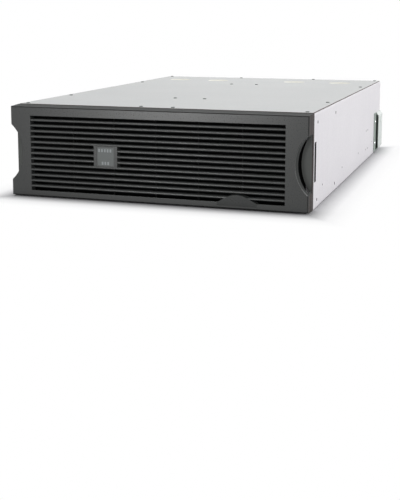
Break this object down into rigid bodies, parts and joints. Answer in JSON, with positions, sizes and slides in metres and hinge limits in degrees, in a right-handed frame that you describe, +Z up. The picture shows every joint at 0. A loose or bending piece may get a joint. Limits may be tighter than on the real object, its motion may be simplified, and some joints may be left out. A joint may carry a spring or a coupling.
{
  "type": "rack battery pack",
  "caption": "Low wide rack battery pack with a louvred dark front, grey steel case, perforated rear and a plug on two free cables.",
  "frame": {"origin": "on the floor under the middle of the pack, cables and plug left out", "axes": "+X to the pack's right as seen from the front, +Y from the front to the rear, +Z up"},
  "size_m": [0.4428, 0.8816, 0.1311],
  "materials": {
    "zinc_sheet": "galvanised, dull",
    "cover_sheet": "galvanised, dull, bare cut edge",
    "inner_sheet": "galvanised, dull",
    "bracket_sheet": "galvanised, grey-green passivation",
    "label_paper": "white gummed paper",
    "bright_steel": "plated, bright",
    "charcoal_plastic": "fine moulded grain",
    "window_plastic": "smooth",
    "black_paint": "matt black",
    "black_plastic": "moulded",
    "grey_plastic": "moulded",
    "brass": "plain",
    "red_rubber": "smooth insulation",
    "black_rubber": "smooth insulation",
    "blue_plastic": "moulded",
    "light_blue_plastic": "moulded",
    "bright_copper": "silver plated"
  },
  "bodies": {
    "root": {"base_pan": "zinc_sheet", "rear_panel": "zinc_sheet", "receptacle_clamp": "zinc_sheet", "top_cover": "cover_sheet", "wiring_channel": "inner_sheet", "left_stop_bar": "inner_sheet", "right_stop_bar": "inner_sheet", "left_battery_tray": "inner_sheet", "right_battery_tray": "inner_sheet", "left_rear_bracket": "bracket_sheet", "right_rear_bracket": "bracket_sheet", "cover_screws": "bright_steel", "clamp_screws": "bright_steel", "clinch_nuts": "bright_steel", "bracket_rivets": "bright_steel", "front_bezel": "charcoal_plastic", "bezel_window_plate": "window_plastic", "battery_door": "black_paint", "door_screws": "black_paint", "left_battery_1": "black_plastic", "left_battery_2": "black_plastic", "left_battery_3": "black_plastic", "left_battery_4": "black_plastic", "left_battery_5": "black_plastic", "left_battery_6": "black_plastic", "left_battery_7": "black_plastic", "left_battery_8": "black_plastic", "left_battery_links": "brass", "left_tray_connector": "grey_plastic", "left_harness_connector": "grey_plastic", "right_battery_1": "black_plastic", "right_battery_2": "black_plastic", "right_battery_3": "black_plastic", "right_battery_4": "black_plastic", "right_battery_5": "black_plastic", "right_battery_6": "black_plastic", "right_battery_7": "black_plastic", "right_battery_8": "black_plastic", "right_battery_links": "brass", "right_tray_connector": "grey_plastic", "right_harness_connector": "grey_plastic", "red_harness": "red_rubber", "red_cable": "red_rubber", "black_harness": "black_rubber", "black_cable": "black_rubber", "red_cable_grommet": "black_plastic", "black_cable_grommet": "black_plastic", "plug_housing": "blue_plastic", "rear_receptacle": "light_blue_plastic", "plug_contacts": "bright_copper", "receptacle_contacts": "bright_copper"}
  },
  "joints": []
}
